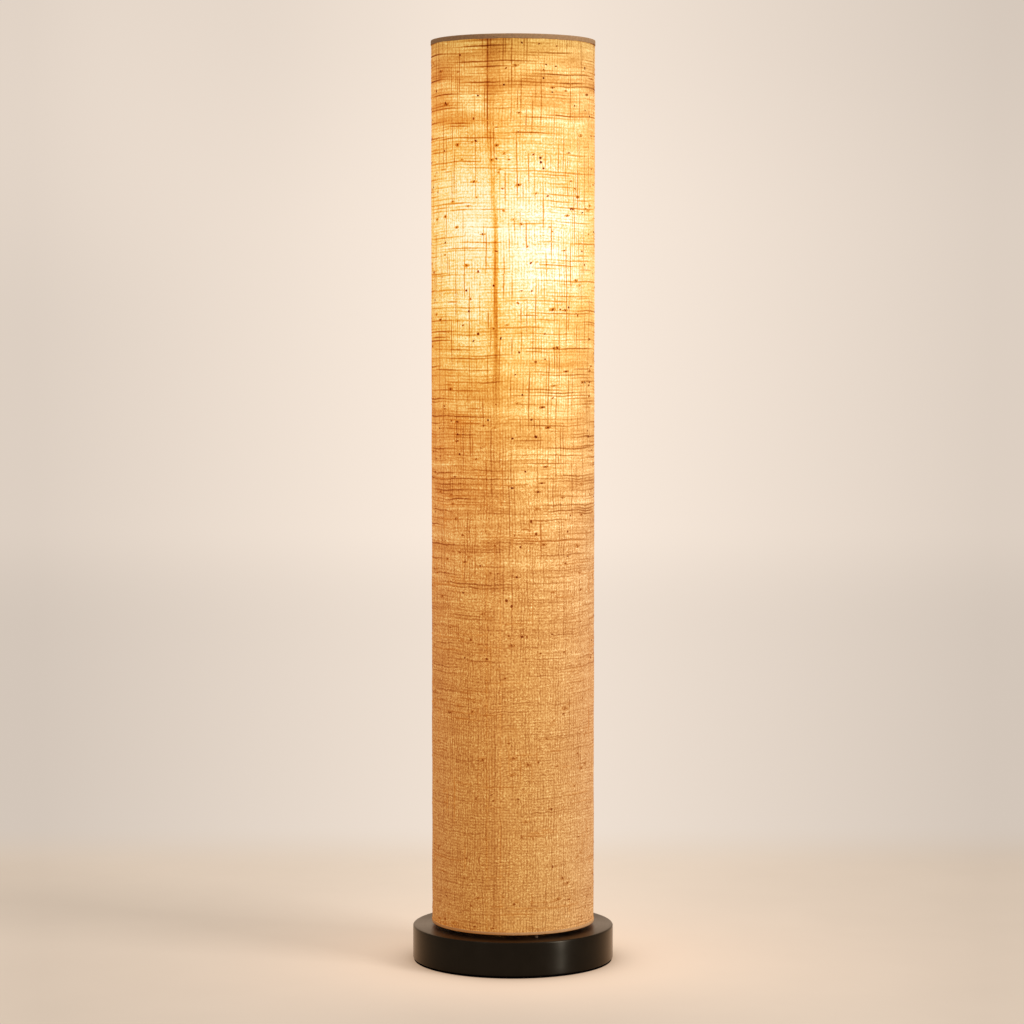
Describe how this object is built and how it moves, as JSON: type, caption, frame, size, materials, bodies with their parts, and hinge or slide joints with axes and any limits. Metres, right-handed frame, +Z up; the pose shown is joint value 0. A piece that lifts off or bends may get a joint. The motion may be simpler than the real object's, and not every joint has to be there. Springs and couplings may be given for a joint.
{
  "type": "column floor lamp",
  "caption": "Tall round linen shade on a weighted metal disc base, lit from inside by a screw-in bulb on a hidden pole; the shade lifts off a harp.",
  "frame": {"origin": "centre of the base's underside, on the floor", "axes": "+Z up along the pole, -Y to the front, where the turn knob is, +Y to the rear, where the cord inlet is"},
  "size_m": [0.252, 0.253, 1.15],
  "materials": {
    "linen": "coarse woven natural linen, matt and translucent",
    "trim_tape": "folded linen tape, matt",
    "liner_plastic": "white translucent styrene",
    "bronze_paint": "dark bronze, satin",
    "cast_iron": "rough",
    "foam_pad": "closed-cell foam, matt",
    "black_rubber": "matt",
    "zinc_steel": "zinc plated",
    "black_tube": "satin black",
    "brass": "satin",
    "nickel": "bright nickel plate",
    "white_wire": "white powder coat",
    "black_plastic": "moulded phenolic",
    "clear_block": "moulded nylon",
    "fibre_paper": "vulcanised fibre",
    "lead_gold": "insulation, gold",
    "lead_silver": "insulation, silver",
    "bulb_glass": "frosted inside",
    "clear_glass": "clear",
    "black_glass": "black insulating glass",
    "tungsten": "glowing",
    "clear_feet": "moulded, brown"
  },
  "bodies": {
    "lamp": {"base_shell": "bronze_paint", "ballast_disc": "cast_iron", "bottom_plate": "zinc_steel", "bottom_screws": "zinc_steel", "floor_pad": "foam_pad", "cord_inlet_bushing": "black_rubber", "terminal_block": "clear_block", "terminal_screws": "brass", "block_screw": "zinc_steel", "threaded_rod": "zinc_steel", "base_washer": "zinc_steel", "lock_washer": "zinc_steel", "base_nut": "zinc_steel", "tube_seat": "black_tube", "pole_tube": "black_tube", "tube_cap": "black_tube", "harp_saddle": "nickel", "saddle_nut": "zinc_steel", "holder_cap": "nickel", "holder_set_screw": "zinc_steel", "holder_shell": "nickel", "insulating_sleeve": "fibre_paper", "holder_body": "black_plastic", "holder_terminal_screws": "brass", "screw_shell": "brass", "centre_contact": "brass", "lead_live": "lead_gold", "lead_neutral": "lead_silver"},
    "switch": {"switch_rotor": "nickel", "turn_knob": "black_plastic"},
    "bulb": {"bulb_contact": "nickel", "bulb_insulator": "black_glass", "bulb_cap": "nickel", "bulb_glass": "bulb_glass", "bulb_stem": "clear_glass", "bulb_wires": "nickel", "bulb_filament": "tungsten"},
    "harp": {"harp_loop": "nickel", "harp_stud": "nickel"},
    "sleeve_left": {"harp_sleeve_left": "nickel"},
    "sleeve_right": {"harp_sleeve_right": "nickel"},
    "shade": {"shade_fabric": "linen", "seam_flap": "linen", "shade_liner": "liner_plastic", "top_trim": "trim_tape", "bottom_hem": "linen", "top_ring": "white_wire", "bottom_ring": "white_wire", "spider_arms": "white_wire", "hub_washer": "white_wire", "shade_feet": "clear_feet"},
    "finial": {"finial": "nickel"}
  },
  "joints": [
    {"name": "knob_turn", "type": "hinge", "parent": "lamp", "child": "switch", "pos_m": [0, -0.02, 0.812], "axis": [0, 1, 0], "continuous": true},
    {"name": "bulb_lift", "type": "slide", "parent": "lamp", "child": "bulb", "axis": [0, 0, 1], "range_m": [0, 0.12]},
    {"name": "harp_lift", "type": "slide", "parent": "lamp", "child": "harp", "axis": [0, 0, 1], "range_m": [0, 0.16]},
    {"name": "sleeve_left_slide", "type": "slide", "parent": "harp", "child": "sleeve_left", "axis": [0, 0, 1], "range_m": [0, 0.014]},
    {"name": "sleeve_right_slide", "type": "slide", "parent": "harp", "child": "sleeve_right", "axis": [0, 0, 1], "range_m": [0, 0.014]},
    {"name": "shade_lift", "type": "slide", "parent": "harp", "child": "shade", "axis": [0, 0, 1], "range_m": [0, 1.09]},
    {"name": "finial_turn", "type": "hinge", "parent": "shade", "child": "finial", "pos_m": [0, 0, 1.12], "axis": [0, 0, 1], "continuous": true}
  ]
}
